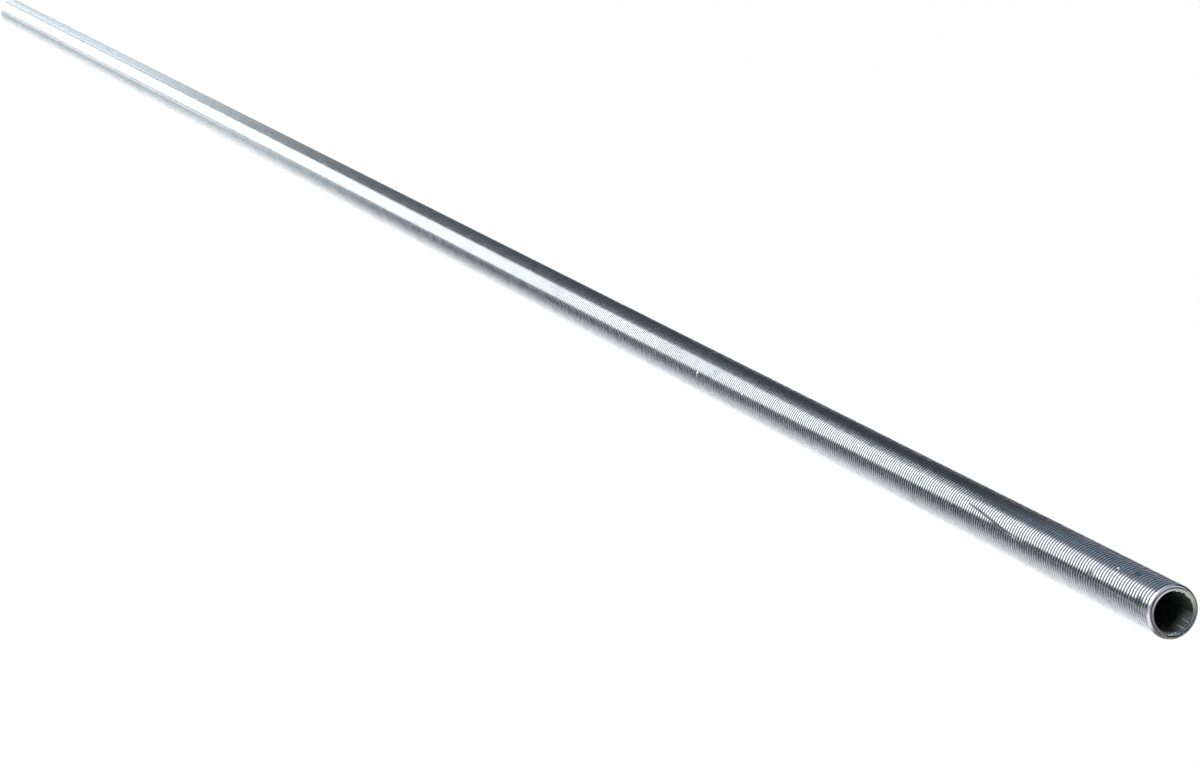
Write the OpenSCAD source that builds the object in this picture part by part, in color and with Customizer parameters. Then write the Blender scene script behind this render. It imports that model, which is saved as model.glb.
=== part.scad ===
// Hollow threaded rod: one length of steel tube with a fine metric thread over its whole outside.
// It lies along X on the plane z = 0, with the middle of its length above the origin.

/* [Thread] */
// Major diameter of the outside thread, measured over its crests
thread_d = 10; // [8:0.5:20]
// Pitch of the thread, from one crest to the next
thread_pitch = 1; // [0.5:0.05:1.5]

/* [Tube] */
// Length of the tube from one cut face to the other
tube_l = 1000; // [100:10:2000]
// Thickness of the wall from the thread's crests to the bore
wall_t = 1.1; // [1:0.05:2]

/* [Cut ends] */
// Angle between the chamfer on each end and the tube's axis
chamfer_angle = 45; // [30:5:60]

/* [Smoothness] */
// Number of sides that stand for a full circle
circle_sides = 96; // [48:8:192]

/* [Hidden] */

// Depth of an outside metric thread, as a share of its pitch
depth_per_pitch = 0.6134;

// The chamfer goes half way down the thread, so a nut finds the first turn
thread_depth = depth_per_pitch * thread_pitch;
chamfer_depth = thread_depth / 2;
crest_r = thread_d / 2;
face_r = crest_r - chamfer_depth;
bore_r = crest_r - wall_t;
chamfer_l = chamfer_depth / tan(chamfer_angle);

// Half section of the wall: radius across, length upwards
module wall_section() {
    polygon([
        [bore_r, 0],
        [face_r, 0],
        [crest_r, chamfer_l],
        [crest_r, tube_l - chamfer_l],
        [face_r, tube_l],
        [bore_r, tube_l]
    ]);
}

// The tube, laid along X so that its crests touch the plane z = 0
module threaded_tube() {
    color("silver")
        translate([-tube_l / 2, 0, crest_r])
            rotate([0, 90, 0])
                rotate_extrude($fn = circle_sides)
                    wall_section();
}

threaded_tube();
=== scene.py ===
import math
import random
import bpy
from mathutils import Matrix, Vector


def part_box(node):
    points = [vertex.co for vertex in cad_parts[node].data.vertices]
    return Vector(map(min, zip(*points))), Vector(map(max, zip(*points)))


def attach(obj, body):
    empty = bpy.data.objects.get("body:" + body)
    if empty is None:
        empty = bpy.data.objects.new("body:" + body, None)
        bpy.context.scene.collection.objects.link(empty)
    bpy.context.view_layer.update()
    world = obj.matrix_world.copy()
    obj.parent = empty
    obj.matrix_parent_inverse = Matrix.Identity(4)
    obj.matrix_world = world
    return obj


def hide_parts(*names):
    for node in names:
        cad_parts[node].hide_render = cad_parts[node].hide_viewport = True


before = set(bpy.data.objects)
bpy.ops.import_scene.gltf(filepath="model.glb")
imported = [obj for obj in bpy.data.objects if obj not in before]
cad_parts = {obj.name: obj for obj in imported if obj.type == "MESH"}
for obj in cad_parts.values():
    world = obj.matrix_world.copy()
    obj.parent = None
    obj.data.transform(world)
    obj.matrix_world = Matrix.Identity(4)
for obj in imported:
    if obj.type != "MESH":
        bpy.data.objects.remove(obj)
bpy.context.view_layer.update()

# Camera.
# It looks down on the rod from beside its near end and almost along it, through a long lens, as in the
# photograph.
CAMERA_PLACE = (1.08545, -0.31927, 0.18383)
CAMERA_HEADING = math.radians(70.043)
CAMERA_TILT_DOWN = math.radians(11.775)
bpy.ops.object.camera_add(
    location=CAMERA_PLACE,
    rotation=(math.radians(90) - CAMERA_TILT_DOWN, 0, CAMERA_HEADING),
)
camera = bpy.context.object
camera.name = "camera"
camera.data.lens = 117
camera.data.sensor_width = 36
camera.data.clip_start = 0.01
camera.data.clip_end = 100
bpy.context.scene.camera = camera

# Threaded tube.
# One length of drawn steel tube, the whole object. Its thread is rolled over all of its outside, and the
# tube is then sawn to length, chamfered half way down the thread at both ends and plated with bright zinc.
MM = 0.001
low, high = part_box("threaded_tube")
TUBE_LENGTH = high.x - low.x
CREST_R = (high.z - low.z) / 2
AXIS = Vector(((low.x + high.x) / 2, 0, low.z + CREST_R))
PITCH = 1.0 * MM
THREAD_DEPTH = 0.6134 * PITCH
CREST_WIDTH = 0.42 * PITCH
ROOT_R = CREST_R - THREAD_DEPTH
FACE_R = CREST_R - THREAD_DEPTH / 2
BORE_R = 3.9 * MM
SIDES = 32
SPARE_TURNS = 3
GROOVE_TURN = 84 / 360
TOUCHING = 0.01 * MM


def take(thing):
    """Makes this the only selected object, and the active one."""
    bpy.ops.object.select_all(action="DESELECT")
    thing.select_set(True)
    bpy.context.view_layer.objects.active = thing


def select_points(keep):
    """Selects the points of the active object that keep() accepts, and leaves it in edit mode."""
    bpy.ops.object.mode_set(mode="OBJECT")
    mesh = bpy.context.object.data
    for part in (mesh.polygons, mesh.edges):
        part.foreach_set("select", [False] * len(part))
    mesh.vertices.foreach_set("select", [keep(point.co) for point in mesh.vertices])
    bpy.ops.object.mode_set(mode="EDIT")
    bpy.ops.mesh.select_mode(type="VERT")


def select_faces(keep):
    """Selects the faces whose middle and normal keep() accepts, and leaves the object in edit mode."""
    bpy.ops.object.mode_set(mode="OBJECT")
    mesh = bpy.context.object.data
    for part in (mesh.vertices, mesh.edges):
        part.foreach_set("select", [False] * len(part))
    mesh.polygons.foreach_set("select", [keep(face.center, face.normal) for face in mesh.polygons])
    bpy.ops.object.mode_set(mode="EDIT")
    bpy.ops.mesh.select_mode(type="FACE")


def from_axis(place):
    return math.hypot(place.y - AXIS.y, place.z - AXIS.z)


def clock(place):
    """Degrees round the axis from straight up, clockwise as seen from the near end."""
    return math.degrees(math.atan2(place.y - AXIS.y, place.z - AXIS.z)) % 360


def draw_in(radius, depth):
    """Draws the selected points, which lie at this radius, in towards the axis by this depth."""
    nearer = (radius - depth) / radius
    bpy.ops.transform.resize(value=(1, nearer, nearer), center_override=AXIS)


# The outline of one pitch: up the near flank, along the crest and down the far flank. It starts where its
# groove comes out on the left of the near face.
turns = round(TUBE_LENGTH / PITCH) + 2 * SPARE_TURNS
flank_run = (PITCH - CREST_WIDTH) / 2
bpy.ops.object.select_all(action="DESELECT")
bpy.ops.mesh.primitive_plane_add(
    size=MM, location=(low.x - (SPARE_TURNS + GROOVE_TURN) * PITCH, AXIS.y, AXIS.z)
)
tube = bpy.context.object
tube.name = "threaded_tube_finish"
bpy.ops.object.mode_set(mode="EDIT")
bpy.ops.mesh.select_all(action="SELECT")
bpy.ops.mesh.merge(type="CENTER")
bpy.ops.transform.translate(value=(0, 0, ROOT_R))
for along, up in ((flank_run, THREAD_DEPTH), (CREST_WIDTH, 0), (flank_run, -THREAD_DEPTH)):
    bpy.ops.mesh.extrude_vertices_move(TRANSFORM_OT_translate={"value": (along, 0, up)})
bpy.ops.object.mode_set(mode="OBJECT")

# The outline is wound round the axis, one pitch further at each turn, and the turns are welded together.
bpy.ops.object.modifier_add(type="SCREW")
winding = tube.modifiers[-1]
winding.axis = "X"
winding.angle = math.tau
winding.screw_offset = PITCH
winding.iterations = turns
winding.steps = SIDES
winding.render_steps = SIDES
bpy.ops.object.modifier_apply(modifier=winding.name)
bpy.ops.object.transform_apply(location=True, rotation=True, scale=True)
bpy.ops.object.mode_set(mode="EDIT")
bpy.ops.mesh.select_all(action="SELECT")
bpy.ops.mesh.remove_doubles(threshold=TOUCHING)
for end, outward in ((low.x - PITCH, -1), (high.x + PITCH, 1)):
    bpy.ops.mesh.select_all(action="SELECT")
    bpy.ops.mesh.bisect(
        plane_co=(end, 0, 0), plane_no=(outward, 0, 0), use_fill=True, clear_outer=True
    )
bpy.ops.mesh.select_all(action="SELECT")
bpy.ops.mesh.normals_make_consistent(inside=False)

# Rolling leaves the crests slightly uneven.
CREST_BAND = 0.05 * MM
CREST_UNEVEN = 0.012 * MM
select_points(lambda place: from_axis(place) > CREST_R - CREST_BAND)
bpy.ops.transform.vertex_random(offset=CREST_UNEVEN, uniform=1.0, normal=0.0, seed=11)

# Dents from handling, each as millimetres from the near face, degrees above the camera's side, and depth
# in millimetres, as their length and width are. The first four are where the photograph shows them, and
# the others are scattered over its side of the rod.
DENT_L = 1.6
DENT_W = 1.1
DENTED_BAND = 0.08 * MM
DENTED_LENGTH = (8, 420)
DENTED_SIDE = (-55, 62)
DENT_DEPTHS = (0.03, 0.04, 0.05)
SCATTERED_DENTS = 14
DENTS = [(23.1, 21, 0.09), (10.6, 66, 0.09), (4.0, 17, 0.09), (4.6, -34, 0.12)]
random.seed(23)
DENTS += [
    (random.uniform(*DENTED_LENGTH), random.uniform(*DENTED_SIDE), random.choice(DENT_DEPTHS))
    for _ in range(SCATTERED_DENTS)
]


def in_a_dent(place, dents):
    """Whether this point is on a crest and in one of these dents."""
    if from_axis(place) < CREST_R - DENTED_BAND:
        return False
    back = (high.x - place.x) / MM
    above = math.degrees(math.atan2(place.z - AXIS.z, AXIS.y - place.y))
    return any(
        abs(back - dent_back) < DENT_L / 2
        and abs(math.radians(above - dent_above)) * CREST_R / MM < DENT_W / 2
        for dent_back, dent_above, _ in dents
    )


for depth in sorted({dent[2] for dent in DENTS}):
    equally_deep = [dent for dent in DENTS if dent[2] == depth]
    select_points(lambda place: in_a_dent(place, equally_deep))
    draw_in(CREST_R, depth * MM)
bpy.ops.object.mode_set(mode="OBJECT")

# The sawn and chamfered blank, to which the wound solid is cut. Both ends get a cone, a flat ring with a
# fine turned line in it, and a mouth. The bore then joins the two mouths.
BLANK_SIDES = 120
BLANK_SPARE = 0.3 * MM
MOUTH_DEPTH = 0.3 * MM
LINE_R = 4.40 * MM
LINE_W = 0.18 * MM
LINE_DEPTH = 0.08 * MM
FLAT_END = 0.99
blank_r = CREST_R + BLANK_SPARE
cone_l = blank_r - FACE_R
bpy.ops.object.select_all(action="DESELECT")
bpy.ops.mesh.primitive_cylinder_add(
    vertices=BLANK_SIDES, radius=blank_r, depth=TUBE_LENGTH - 2 * cone_l,
    location=AXIS, rotation=(0, math.pi / 2, 0),
)
blank = bpy.context.object
bpy.ops.object.transform_apply(location=True, rotation=True, scale=True)
for outward in (-1, 1):
    select_faces(lambda centre, normal: normal.x * outward > FLAT_END)
    middle = (AXIS.x + outward * TUBE_LENGTH / 2, AXIS.y, AXIS.z)
    bpy.ops.mesh.extrude_region_move(TRANSFORM_OT_translate={"value": (outward * cone_l, 0, 0)})
    bpy.ops.transform.resize(value=(1, FACE_R / blank_r, FACE_R / blank_r), center_override=middle)
    bpy.ops.mesh.inset(thickness=FACE_R - LINE_R - LINE_W / 2)
    bpy.ops.mesh.inset(thickness=LINE_W / 2, depth=-LINE_DEPTH)
    bpy.ops.mesh.inset(thickness=LINE_W / 2, depth=LINE_DEPTH)
    bpy.ops.mesh.inset(thickness=LINE_R - LINE_W / 2 - BORE_R)
    bpy.ops.mesh.extrude_region_move(
        TRANSFORM_OT_translate={"value": (-outward * MOUTH_DEPTH, 0, 0)}
    )
    bpy.ops.mesh.delete(type="FACE")
bpy.ops.object.mode_set(mode="OBJECT")
bore_slack = 0.1 * MM
for edge in blank.data.edges:
    ends = [blank.data.vertices[i].co for i in edge.vertices]
    edge.select = all(
        from_axis(p) < BORE_R + bore_slack and abs(p.x - AXIS.x) < (TUBE_LENGTH - MOUTH_DEPTH) / 2
        for p in ends
    )
bpy.ops.object.mode_set(mode="EDIT")
bpy.ops.mesh.select_mode(type="EDGE")
bpy.ops.mesh.bridge_edge_loops()

# The saw left a ragged burr round the near mouth, from the top to the right, and a curled lip at its
# bottom: from one clock angle to the next, and how far it hangs in, in millimetres.
BURR_TEETH = (
    (354, 2, 0.02), (6, 14, 0.16), (14, 20, 0.07), (20, 29, 0.19), (29, 35, 0.03), (35, 41, 0.21),
    (41, 50, 0.26), (50, 56, 0.12), (56, 62, 0.03), (62, 68, 0.13), (68, 77, 0.04), (77, 83, 0.08),
    (146, 152, 0.06), (152, 158, 0.14), (158, 164, 0.12), (164, 173, 0.22), (173, 185, 0.30),
    (185, 191, 0.22), (191, 197, 0.24), (197, 203, 0.10), (203, 209, 0.05),
)
rim_slack = 0.05 * MM
for start, stop, depth in BURR_TEETH:
    select_points(
        lambda place: place.x > high.x - TOUCHING and from_axis(place) < BORE_R + rim_slack
        and (clock(place) - start) % 360 < (stop - start) % 360
    )
    draw_in(BORE_R, depth * MM)
bpy.ops.mesh.select_all(action="SELECT")
bpy.ops.mesh.normals_make_consistent(inside=False)
bpy.ops.object.mode_set(mode="OBJECT")


def cut_or_join(thing, other, how):
    """Cuts thing with other or joins the two, as how says, and removes other."""
    take(thing)
    bpy.ops.object.modifier_add(type="BOOLEAN")
    step = thing.modifiers[-1]
    step.operation = how
    step.solver = "MANIFOLD"
    step.object = other
    bpy.ops.object.modifier_apply(modifier=step.name)
    bpy.data.objects.remove(other)


cut_or_join(tube, blank, "INTERSECT")

# A scrape, where a straight edge was dragged over the crests: its two ends, each as a distance from the
# near face and an angle above the camera's side.
SCRAPE_ENDS = ((75.0 * MM, math.radians(40.4)), (49.8 * MM, math.radians(12.4)))
SCRAPE_W = 0.45 * MM
SCRAPE_TILT = math.radians(5)
SCRAPER_H = 1.0 * MM
upper_end, lower_end = (
    Vector((high.x - back, AXIS.y - CREST_R * math.cos(above), AXIS.z + CREST_R * math.sin(above)))
    for back, above in SCRAPE_ENDS
)
middle_above = (SCRAPE_ENDS[0][1] + SCRAPE_ENDS[1][1]) / 2
straight_out = Vector((0, -math.cos(middle_above), math.sin(middle_above)))
round_down = Vector((0, -math.sin(middle_above), -math.cos(middle_above)))
along = (lower_end - upper_end).normalized()
off_tube = straight_out * math.cos(SCRAPE_TILT) + round_down * math.sin(SCRAPE_TILT)
off_tube = (off_tube - along * off_tube.dot(along)).normalized()
across = off_tube.cross(along)
if across.dot(round_down) < 0:
    across = -across
    along = -along
bpy.ops.object.select_all(action="DESELECT")
bpy.ops.mesh.primitive_cube_add(
    size=1,
    location=(upper_end + lower_end) / 2 + across * SCRAPE_W / 2 + off_tube * SCRAPER_H / 2,
    rotation=Matrix((along, across, off_tube)).transposed().to_euler(),
    scale=((lower_end - upper_end).length, SCRAPE_W, SCRAPER_H),
)
scraper = bpy.context.object
bpy.ops.object.transform_apply(location=True, rotation=True, scale=True)
cut_or_join(tube, scraper, "DIFFERENCE")

# Small flat beads of zinc that the plating bath left on the crests, each as millimetres from the near
# face, degrees above the camera's side, and radius in millimetres.
BEAD_HEIGHT = 0.09 * MM
BEADS = (
    (16.2, 61, 0.45), (189.9, 16.6, 0.45), (216.4, 10.7, 0.45), (219.1, 85.9, 0.45), (337.5, 56.5, 0.55),
    (128, 38, 0.35), (401, 22, 0.45), (264, 47, 0.4), (540, 150, 0.4),
)
for back, above, size in BEADS:
    above = math.radians(above)
    middle_r = CREST_R + BEAD_HEIGHT - size * MM
    bpy.ops.object.select_all(action="DESELECT")
    bpy.ops.mesh.primitive_ico_sphere_add(
        subdivisions=2, radius=size * MM,
        location=(
            high.x - back * MM, AXIS.y - middle_r * math.cos(above), AXIS.z + middle_r * math.sin(above)
        ),
    )
    bead = bpy.context.object
    bpy.ops.object.transform_apply(location=True, rotation=True, scale=True)
    cut_or_join(tube, bead, "UNION")

# The rolled crests are rounded, so they are shaded smooth. The chamfers and the sawn faces, found by how
# far their normals lean along the rod, keep sharp rims.
ROUNDED_UP_TO = math.radians(70)
END_ZONE = 0.55 * THREAD_DEPTH
CHAMFER_LEAN = (0.60, 0.80)
SAWN_FACE_LEAN = (0.97, 1.01)
take(tube)
bpy.ops.object.shade_smooth_by_angle(angle=ROUNDED_UP_TO)
for outward in (-1, 1):
    for least, most in (CHAMFER_LEAN, SAWN_FACE_LEAN):
        select_faces(
            lambda centre, normal: least < normal.x * outward < most
            and (centre.x - AXIS.x) * outward > TUBE_LENGTH / 2 - END_ZONE
        )
        bpy.ops.mesh.region_to_loop()
        bpy.ops.mesh.mark_sharp()
bpy.ops.object.mode_set(mode="OBJECT")

# Bright zinc over the crests, dull down in the grooves with painted shade there, bare sawn steel on the
# near face with painted light and shade, and a dark, drawn bore with streaks along it that carry a painted
# glint in its mouth.
ZINC = (0.66, 0.69, 0.72, 1)
ZINC_BLUE = (0.56, 0.61, 0.67, 1)
ZINC_STAIN = (0.44, 0.42, 0.39, 1)
# Painted shade in the grooves.
GROOVE_SHADE = (0.10, 0.12, 0.145, 1)
BORE = (0.36, 0.38, 0.37, 1)
# The lit patch and the painted glint in the bore's mouth.
BORE_LIT = (0.14, 0.16, 0.16, 1)
BORE_PAINTED_GLINT = (0.78, 0.88, 0.96, 1)
SAWN_SPECK = (0.42, 0.46, 0.48, 1)
# Painted highlight and painted shade for the near chamfer and the face's outer edge.
CHAMFER_PAINTED_HIGHLIGHT = (0.86, 0.86, 0.93, 1)
CHAMFER_PAINTED_SHADE = (0.10, 0.10, 0.10, 1)
# Painted light outside the turned line and painted shade in it, on the left of the near face.
RING_PAINTED_LIGHT = (0.62, 0.60, 0.68, 1)
LINE_PAINTED_SHADE = (0.12, 0.11, 0.15, 1)
# Painted light and shade round the near face, from its bottom by way of the left, the top and the right:
# share of the way, and colour.
SAWN_LIGHT_AND_SHADE = (
    (0.04, (0.09, 0.10, 0.09, 1)), (0.15, (0.15, 0.15, 0.17, 1)), (0.25, (0.26, 0.24, 0.32, 1)),
    (0.38, (0.60, 0.57, 0.68, 1)), (0.52, (0.44, 0.48, 0.45, 1)), (0.66, (0.46, 0.50, 0.47, 1)),
    (0.73, (0.27, 0.31, 0.30, 1)), (0.78, (0.16, 0.19, 0.19, 1)), (0.86, (0.08, 0.10, 0.12, 1)),
)


def new_paint(thing, name, glows=False):
    """Gives thing one new material, and returns its node tree. One that glows isn't used as a lamp."""
    paint = bpy.data.materials.new(name)
    paint.use_nodes = True
    if glows:
        paint.cycles.emission_sampling = "NONE"
    thing.data.materials.clear()
    thing.data.materials.append(paint)
    return paint.node_tree


def feed(socket, value):
    """Links a node's output to this socket, or fills the socket with a plain value."""
    if isinstance(value, bpy.types.NodeSocket):
        tree.links.new(value, socket)
    else:
        socket.default_value = value


def node(kind, sockets=(), **settings):
    """Adds a node to the tree in hand, sets it up and feeds its sockets."""
    made = tree.nodes.new("ShaderNode" + kind)
    for name, value in settings.items():
        setattr(made, name, value)
    for socket, value in dict(sockets).items():
        feed(made.inputs[socket], value)
    return made


def ramp(value, start, stop):
    """0 at start and 1 at stop, with a smooth change between. Start may be the higher one."""
    made = node(
        "MapRange", {"Value": value, "From Min": start, "From Max": stop},
        interpolation_type="SMOOTHSTEP",
    )
    return made.outputs["Result"]


def arithmetic(how, first, second):
    return node("Math", {0: first, 1: second}, operation=how).outputs[0]


def times(first, second):
    return arithmetic("MULTIPLY", first, second)


def plus(first, second):
    return arithmetic("ADD", first, second)


def away_from(value, middle):
    """How far value is from middle, on either side."""
    return arithmetic("ABSOLUTE", arithmetic("SUBTRACT", value, middle), 0.0)


def blend(share, first, second):
    """The first colour where share is 0, the second where it is 1."""
    made = node("Mix", {"Factor": share}, data_type="RGBA")
    for name, value in (("A", first), ("B", second)):
        feed(next(s for s in made.inputs if s.name == name and s.type == "RGBA"), value)
    return next(s for s in made.outputs if s.type == "RGBA")


def speckle(scale, detail, stretch=(1, 1, 1)):
    """Noise of this scale per metre, on the object's own coordinates, which stretch multiplies."""
    laid = node("Mapping", {"Vector": position, "Scale": stretch})
    return node("TexNoise", {"Vector": laid.outputs[0], "Scale": scale, "Detail": detail}).outputs["Fac"]


# Places in this material are taken from the middle of the tube's axis.
NEAR_FACE = TUBE_LENGTH / 2
tree = new_paint(tube, "bright_zinc_plating")
plating = tree.nodes["Principled BSDF"]
position = node("TexCoord").outputs["Object"]
from_middle = node("Mapping", {"Vector": position, "Location": (-AXIS.x, -AXIS.y, -AXIS.z)})
lengthways, sideways, upward = node("SeparateXYZ", {0: from_middle.outputs[0]}).outputs
spoke = node("CombineXYZ", {"Y": sideways, "Z": upward})
radius = node("VectorMath", {0: spoke.outputs[0]}, operation="LENGTH").outputs["Value"]
round_share = plus(0.5, arithmetic("DIVIDE", arithmetic("ARCTAN2", sideways, upward), math.tau))
# The sawn end and the inside of the bore, each with a soft edge a fraction of a millimetre wide.
near_end = ramp(lengthways, NEAR_FACE - 0.50 * MM, NEAR_FACE - 0.36 * MM)
in_bore = times(
    ramp(radius, BORE_R + 0.08 * MM, BORE_R + 0.02 * MM),
    ramp(lengthways, NEAR_FACE - 0.02 * MM, NEAR_FACE - 0.30 * MM),
)

# Painted shade in the grooves: darkest on top and towards the near end.
GROOVE_SHADE_FROM = -0.30
GROOVE_SHADE_FULL = 0.35
GROOVE_SHADE_BELOW = 0.25
groove_shade_length = node("MapRange", {"Value": lengthways, "From Min": GROOVE_SHADE_FROM, "From Max": GROOVE_SHADE_FULL})
groove_shade_on_top = ramp(upward, -0.2 * CREST_R, 0.3 * CREST_R)
groove_shade_side = plus(GROOVE_SHADE_BELOW, times(1 - GROOVE_SHADE_BELOW, groove_shade_on_top))
groove_shade_share = times(groove_shade_length.outputs["Result"], groove_shade_side)
shaded_groove = times(
    ramp(radius, CREST_R - 0.04 * MM, CREST_R - 0.13 * MM),
    times(groove_shade_share, arithmetic("SUBTRACT", 1.0, near_end)),
)

# The zinc is a little bluer in fine spots, stained in large patches and specked with dirt. Each of these
# comes in between two levels of its own noise.
fine = speckle(900, 2)
coarse = speckle(90, 3, (0.5, 1, 1))
dirt = speckle(1500, 1)
skin = blend(ramp(fine, 0.42, 0.72), ZINC, ZINC_BLUE)
skin = blend(times(ramp(coarse, 0.52, 0.72), 0.25), skin, ZINC_STAIN)
skin = blend(times(ramp(dirt, 0.60, 0.68), 0.45), skin, ZINC_STAIN)
# Painted shade down in the grooves.
skin = blend(shaded_groove, skin, GROOVE_SHADE)

# The near face carries painted light and shade: mauve on its left, pale at the top and where the burr is,
# and dark and gritty at the bottom. Its outer edge has painted shade at the upper right.
rounds = node("ValToRGB", {"Fac": round_share})
bands = rounds.color_ramp.elements
while len(bands) < len(SAWN_LIGHT_AND_SHADE):
    bands.new(1.0)
for band, (share, colour) in zip(bands, SAWN_LIGHT_AND_SHADE):
    band.position = share
    band.color = colour
left = times(ramp(round_share, 0.62, 0.54), ramp(round_share, 0.12, 0.20))
shaded = times(ramp(round_share, 0.55, 0.60), ramp(round_share, 0.80, 0.75))
rough_part = ramp(away_from(round_share, 0.45), 0.30, 0.40)
gritty = ramp(speckle(2600, 2), 0.50, 0.66)
on_line = times(
    ramp(radius, LINE_R - LINE_W, LINE_R - LINE_W / 2),
    ramp(radius, LINE_R + LINE_W, LINE_R + LINE_W / 2),
)
outer = ramp(radius, LINE_R + LINE_W / 2, LINE_R + LINE_W)
on_chamfer = ramp(radius, FACE_R, FACE_R + 0.05 * MM)
sawn = blend(times(gritty, rough_part), rounds.outputs["Color"], SAWN_SPECK)
# On the left only: painted light on the ring outside the turned line, and painted shade in the line.
sawn = blend(times(outer, left), sawn, RING_PAINTED_LIGHT)
sawn = blend(times(on_line, left), sawn, LINE_PAINTED_SHADE)
# Painted shade on the outer edge at the upper right; on the chamfer, a painted highlight on the left, shade
# elsewhere.
sawn = blend(times(outer, shaded), sawn, CHAMFER_PAINTED_SHADE)
sawn = blend(on_chamfer, sawn, blend(left, CHAMFER_PAINTED_SHADE, CHAMFER_PAINTED_HIGHLIGHT))
skin = blend(near_end, skin, sawn)

# The bore is dull and dark. At the lower right of its mouth, on a patch that isn't metal, its scratches
# carry a painted glint.
glinting_streaks = ramp(speckle(4200, 2, (0.02, 1, 1)), 0.50, 0.62)
glint_patch = times(
    ramp(lengthways, NEAR_FACE - 5 * MM, NEAR_FACE - 1 * MM),
    ramp(away_from(round_share, 0.86), 0.11, 0.04),
)
bore = blend(glint_patch, BORE, blend(glinting_streaks, BORE_LIT, BORE_PAINTED_GLINT))
skin = blend(in_bore, skin, bore)
feed(plating.inputs["Base Color"], skin)
feed(plating.inputs["Metallic"], arithmetic("SUBTRACT", 1.0, times(in_bore, glint_patch)))

BRIGHT_DULLNESS = 0.09
UNEVEN_DULLNESS = 0.09
dullness = plus(BRIGHT_DULLNESS, times(speckle(500, 3), UNEVEN_DULLNESS))
for where, added in ((shaded_groove, 0.15), (near_end, 0.18), (in_bore, 0.30)):
    dullness = plus(dullness, times(where, added))
feed(plating.inputs["Roughness"], dullness)
grain = node("Bump", {"Strength": 1.0, "Distance": 0.02 * MM, "Height": fine})
feed(plating.inputs["Normal"], grain.outputs[0])
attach(tube, "root")
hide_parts("threaded_tube")

# Floor.
# A plain white table, painted or laminated board. It shows white to the camera and in the metal, and keeps
# a faint shadow of the rod.
FLOOR_SIZE = 60
FLOOR_GLOW = 0.97
bpy.ops.object.select_all(action="DESELECT")
bpy.ops.mesh.primitive_plane_add(size=FLOOR_SIZE, location=(0, 0, 0))
floor = bpy.context.object
floor.name = "floor"
tree = new_paint(floor, "white_table", glows=True)
table = tree.nodes["Principled BSDF"]
table.inputs["Base Color"].default_value = (0.9, 0.9, 0.9, 1)
table.inputs["Roughness"].default_value = 0.9


def background_rays(share):
    """This share for camera, mirror and glass rays, which see the white background, and 0 for others."""
    path = node("LightPath")
    seen = plus(path.outputs["Is Camera Ray"], path.outputs["Is Glossy Ray"])
    seen = plus(seen, path.outputs["Is Transmission Ray"])
    return times(arithmetic("MINIMUM", seen, 1.0), share)


white = node("Emission", {"Color": (1, 1, 1, 1)})
mix = node("MixShader", {0: background_rays(FLOOR_GLOW), 1: table.outputs[0], 2: white.outputs[0]})
feed(tree.nodes["Material Output"].inputs["Surface"], mix.outputs[0])

# Room.
# The unlit room round the table. The real rod mirrors it as its dark bands, so its walls are seen in the
# metal alone, where they glow as a painted reflection. It grows paler towards the far end and is warmer low
# down at the back.
ROOM_R = 1.8
ROOM_NEAR = 3.0
ROOM_FAR = -10.0
ROOM_LIFT = 0.003
ROOM_PALE_FROM = -4.3
ROOM_PALE_TO = -8.5
ROOM_WARM_FROM = 0.5
ROOM_COLOUR = (0.090, 0.106, 0.122, 1)
ROOM_BACK_COLOUR = (0.135, 0.125, 0.118, 1)
ROOM_END_COLOUR = (1.00, 1.06, 1.08, 1)


def coordinates():
    """Where each point of the object in hand lies: lengthways, sideways and upward."""
    return node("SeparateXYZ", {0: node("TexCoord").outputs["Object"]}).outputs


def glow(colour):
    """Makes the material in hand give off this colour, and nothing else."""
    shine = node("Emission", {"Color": colour})
    feed(tree.nodes["Material Output"].inputs["Surface"], shine.outputs[0])


def seen_in_metal_only(thing):
    for ray in ("visible_camera", "visible_diffuse", "visible_transmission", "visible_shadow"):
        setattr(thing, ray, False)


bpy.ops.object.select_all(action="DESELECT")
bpy.ops.mesh.primitive_cylinder_add(
    vertices=64, radius=ROOM_R, depth=ROOM_NEAR - ROOM_FAR,
    location=((ROOM_NEAR + ROOM_FAR) / 2, 0, 0), rotation=(0, math.pi / 2, 0),
)
room = bpy.context.object
room.name = "dark_room"
bpy.ops.object.transform_apply(location=True, rotation=True, scale=True)
bpy.ops.object.mode_set(mode="EDIT")
bpy.ops.mesh.select_all(action="SELECT")
bpy.ops.mesh.bisect(plane_co=(0, 0, ROOM_LIFT), plane_no=(0, 0, -1), clear_outer=True)
bpy.ops.object.mode_set(mode="OBJECT")
tree = new_paint(room, "room_reflection_glow", glows=True)
lengthways, sideways, _ = coordinates()
# The walls' glow is a painted reflection, warmer at the back and paler towards the far end.
walls = blend(ramp(sideways, ROOM_WARM_FROM, ROOM_R), ROOM_COLOUR, ROOM_BACK_COLOUR)
walls = blend(ramp(lengthways, ROOM_PALE_FROM, ROOM_PALE_TO), walls, ROOM_END_COLOUR)
glow(walls)
seen_in_metal_only(room)

# Graded sheet.
# The strip of table in front of the rod, as a glowing card seen in the metal alone that paints its
# reflection: it falls off from white beside the rod to dark a hand away, and it is paler towards the far
# end. It stops at the near face, which mirrors the plain table.
SHEET_L = 10
SHEET_W = 0.5
SHEET_PAST_FACE = 2 * MM
SHEET_LIFT = 0.05 * MM
SHEET_FADE = 7.3 * MM
SHEET_PALE_FROM = 0.14
SHEET_PALE_TO = -0.16
SHEET_PALE = (1.7, 1.7, 1.7, 1)
SHEET_DARK = (0.10, 0.125, 0.145, 1)
SHEET_END = (0.65, 0.72, 0.72, 1)


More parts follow.
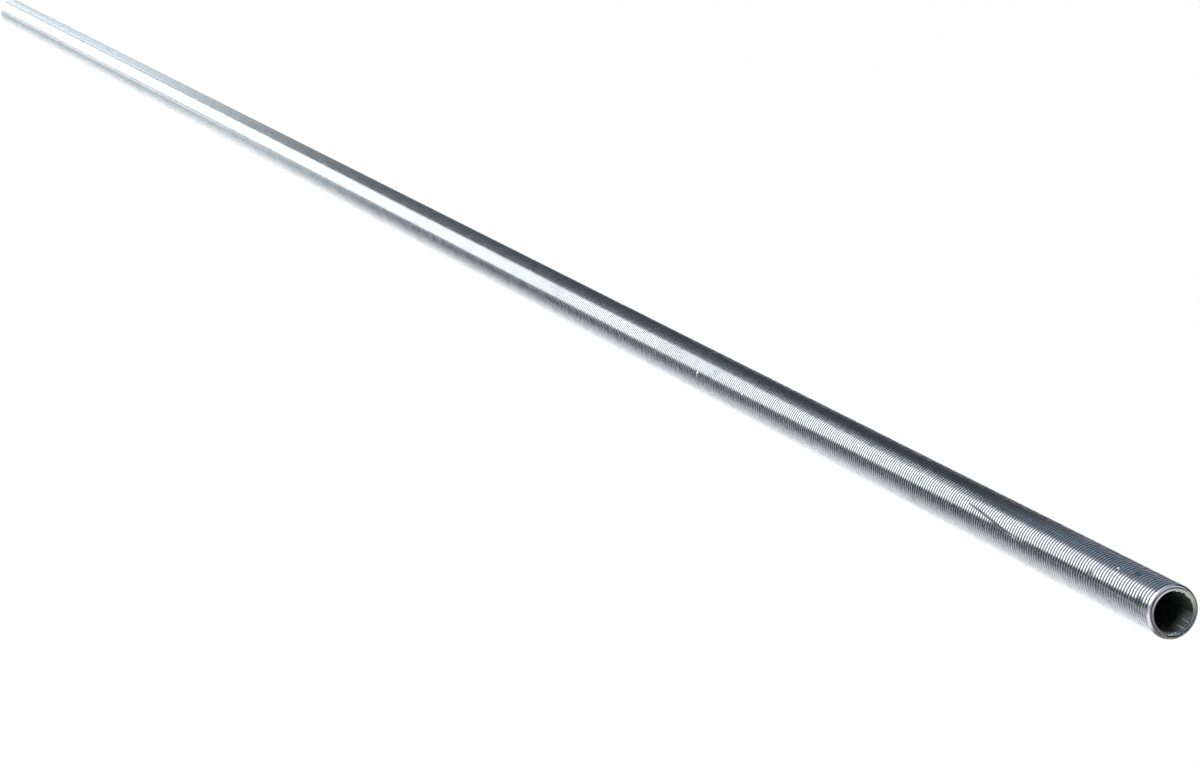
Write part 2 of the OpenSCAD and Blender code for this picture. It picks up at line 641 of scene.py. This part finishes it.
def flat_card(name, middle, size, turned=0):
    """A flat card of this length and width, turned about its long middle line."""
    bpy.ops.object.select_all(action="DESELECT")
    bpy.ops.mesh.primitive_plane_add(size=1, location=middle, rotation=(turned, 0, 0))
    made = bpy.context.object
    made.name = name
    made.scale = (*size, 1)
    bpy.ops.object.transform_apply(location=True, rotation=True, scale=True)
    return made


sheet_middle = (high.x + SHEET_PAST_FACE - SHEET_L / 2, -SHEET_W / 2, SHEET_LIFT)
sheet = flat_card("graded_sheet", sheet_middle, (SHEET_L, SHEET_W))
tree = new_paint(sheet, "graded_sheet", glows=True)
lengthways, sideways, _ = coordinates()
away = arithmetic("POWER", arithmetic("DIVIDE", sideways, SHEET_FADE), 2.0)
fade = arithmetic("DIVIDE", 1.0, plus(away, 1.0))
dark_part = blend(ramp(lengthways, SHEET_PALE_FROM, SHEET_PALE_TO), SHEET_DARK, SHEET_END)
glow(blend(fade, dark_part, SHEET_PALE))
seen_in_metal_only(sheet)

# Cards.
# Five pale glowing cards, seen in the metal alone, which paint reflections. A low one in front, a high one
# behind and two close by, behind and above the far end, make the rod paler towards that end. The last,
# above the near end, draws fine lines on the crests there.
UPRIGHT = math.pi / 2
FLAT = 0
# For each: its middle, its length and width, how it is turned, its colour, and the two places along the rod
# between which it grows from the room's colour to its own.
for name, middle, size, turned, full, start, stop in (
    ("front_card", (-2.3, -0.4, 0.045), (4.8, 0.09), UPRIGHT, (1.25, 1.32, 1.35, 1), 0.08, -0.28),
    ("back_card", (-3.0, 0.35, 0.6), (6.0, 1.2), UPRIGHT, (1.60, 1.78, 1.85, 1), -0.80, -1.70),
    ("end_card", (-0.54, 0.10, 0.15), (1.12, 0.3), UPRIGHT, (0.33, 0.37, 0.39, 1), 0.02, -0.36),
    ("top_card", (-0.49, 0.0175, 0.11), (1.02, 0.125), FLAT, (1.20, 1.29, 1.34, 1), 0.02, -0.38),
    ("line_card", (0.515, 0.0175, 0.105), (0.17, 0.125), FLAT, (0.42, 0.50, 0.58, 1), 0.43, 0.46),
):
    # Each card's glow is a painted reflection.
    paper = flat_card(name, middle, size, turned)
    tree = new_paint(paper, name, glows=True)
    lengthways, _, _ = coordinates()
    glow(blend(ramp(lengthways, start, stop), ROOM_COLOUR, full))
    seen_in_metal_only(paper)

# Light.
# Four long softboxes, end to end, above the camera's side of the rod. The nearest one is set a little
# higher. They stop short beyond the near end, so that the flanks of the thread there mirror the dark room
# between the crests.
SOFTBOX_FAR = 1.2
# For each: its two ends along the rod, its lower and upper edge in degrees above the table, and its
# brightness.
SOFTBOXES = (
    ("softbox_near", 1.4, 0.38, 18, 81, 1.65),
    ("softbox_middle", 0.38, -1.85, 14, 63, 1.95),
    ("softbox_far", -1.85, -4.4, 1, 67, 2.25),
    ("softbox_end", -4.4, -8.0, 1, 110, 2.1),
)
world = bpy.data.worlds.new("studio")
bpy.context.scene.world = world
world.use_nodes = True
world.cycles.sampling_method = "NONE"
tree = world.node_tree
dim = tree.nodes["Background"]
dim.inputs["Color"].default_value = (0.35, 0.35, 0.35, 1)
white = node("Background", {"Color": (1, 1, 1, 1)})
mix = node("MixShader", {0: background_rays(1.0), 1: dim.outputs[0], 2: white.outputs[0]})
feed(tree.nodes["World Output"].inputs["Surface"], mix.outputs[0])

for name, start, stop, lowest, highest, radiance in SOFTBOXES:
    lowest, highest = math.radians(lowest), math.radians(highest)
    up = (lowest + highest) / 2
    length = start - stop
    width = 2 * SOFTBOX_FAR * math.tan((highest - lowest) / 2)
    bpy.ops.object.light_add(
        type="AREA",
        location=((start + stop) / 2, -SOFTBOX_FAR * math.cos(up), SOFTBOX_FAR * math.sin(up)),
        rotation=(math.pi / 2 - up, 0, 0),
    )
    softbox = bpy.context.object
    softbox.name = name
    softbox.data.shape = "RECTANGLE"
    softbox.data.size = length
    softbox.data.size_y = width
    softbox.data.energy = radiance * math.pi * length * width
    softbox.visible_camera = False

scene = bpy.context.scene
scene.view_settings.view_transform = "Standard"
